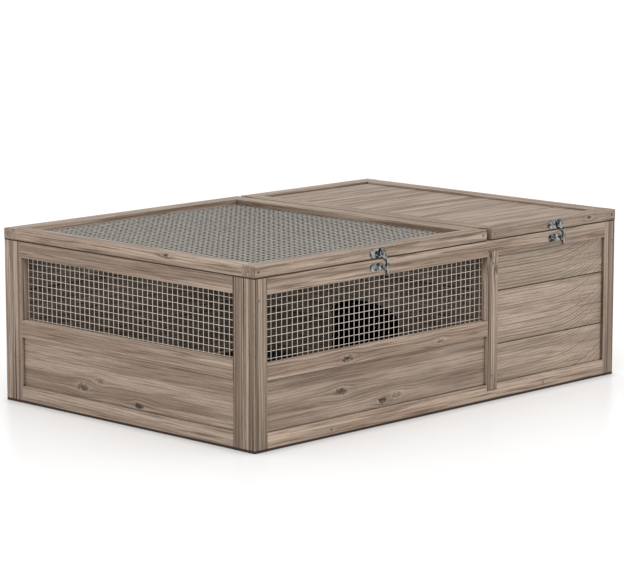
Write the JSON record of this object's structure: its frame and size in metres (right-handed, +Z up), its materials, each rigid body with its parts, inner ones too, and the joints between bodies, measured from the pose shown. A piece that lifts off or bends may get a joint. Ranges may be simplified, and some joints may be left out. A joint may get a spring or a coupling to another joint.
{
  "type": "tortoise house",
  "caption": "Low wooden tortoise house with a meshed run, a boarded hide, a divider with an arched doorway, and hinged lids held by hook latches.",
  "frame": {"origin": "middle of the whole object's footprint, on the ground", "axes": "+X to the right seen from the front, where the latches are, +Y from the front to the back, +Z up"},
  "size_m": [0.96, 0.6546, 0.3173],
  "materials": {
    "frame_timber": "planed fir, grey-brown stain, matt",
    "panel_boards": "planed tongue and groove fir, grey-brown stain, matt",
    "floor_board": "raw plywood",
    "welded_mesh": "galvanised, dull",
    "zinc_hardware": "bright zinc plate",
    "tray_plastic": "moulded black plastic"
  },
  "bodies": {
    "box": {"front_left_post": "frame_timber", "front_middle_post": "frame_timber", "front_right_post": "frame_timber", "front_top_rail": "frame_timber", "front_mid_rail": "frame_timber", "front_bottom_rail": "frame_timber", "front_lower_board": "panel_boards", "front_mesh": "welded_mesh", "front_hide_boards": "panel_boards", "left_front_post": "frame_timber", "left_back_post": "frame_timber", "left_top_rail": "frame_timber", "left_mid_rail": "frame_timber", "left_bottom_rail": "frame_timber", "left_lower_board": "panel_boards", "left_mesh": "welded_mesh", "right_front_post": "frame_timber", "right_back_post": "frame_timber", "right_top_rail": "frame_timber", "right_bottom_rail": "frame_timber", "right_end_boards": "panel_boards", "back_left_post": "frame_timber", "back_middle_post": "frame_timber", "back_right_post": "frame_timber", "back_top_rail": "frame_timber", "back_bottom_rail": "frame_timber", "back_run_boards": "panel_boards", "back_hide_boards": "panel_boards", "divider_battens": "frame_timber", "divider_boards": "panel_boards", "floor_cleats": "frame_timber", "floor_panel": "floor_board", "run_tray": "tray_plastic", "hide_tray": "tray_plastic", "frame_screws": "zinc_hardware", "hardware_screws": "zinc_hardware", "left_latch_keeper": "zinc_hardware", "right_latch_keeper": "zinc_hardware", "hinge_base_leaves": "zinc_hardware", "hinge_pins": "zinc_hardware"},
    "left_lid": {"left_lid_front_rail": "frame_timber", "left_lid_back_rail": "frame_timber", "left_lid_left_rail": "frame_timber", "left_lid_right_rail": "frame_timber", "left_lid_mesh": "welded_mesh", "left_lid_screws": "zinc_hardware", "left_lid_hinge_leaves": "zinc_hardware", "left_latch_plate": "zinc_hardware", "left_latch_rivet": "zinc_hardware"},
    "right_lid": {"right_lid_front_rail": "frame_timber", "right_lid_back_rail": "frame_timber", "right_lid_left_rail": "frame_timber", "right_lid_right_rail": "frame_timber", "right_lid_boards": "panel_boards", "right_lid_screws": "zinc_hardware", "right_lid_hinge_leaves": "zinc_hardware", "right_latch_plate": "zinc_hardware", "right_latch_rivet": "zinc_hardware"},
    "left_hook": {"left_hook": "zinc_hardware"},
    "right_hook": {"right_hook": "zinc_hardware"}
  },
  "joints": [
    {"name": "left_lid_hinge", "type": "hinge", "parent": "box", "child": "left_lid", "pos_m": [-0.18525, 0.32465, 0.2972], "axis": [-1, 0, 0], "range_deg": [0, 110]},
    {"name": "right_lid_hinge", "type": "hinge", "parent": "box", "child": "right_lid", "pos_m": [0.3, 0.32465, 0.2972], "axis": [-1, 0, 0], "range_deg": [0, 110]},
    {"name": "left_hook_swing", "type": "hinge", "parent": "left_lid", "child": "left_hook", "pos_m": [-0.17, -0.32455, 0.30735], "axis": [0, -1, 0], "range_deg": [-9, 85]},
    {"name": "right_hook_swing", "type": "hinge", "parent": "right_lid", "child": "right_hook", "pos_m": [0.3123, -0.32455, 0.30735], "axis": [0, -1, 0], "range_deg": [-9, 85]}
  ]
}
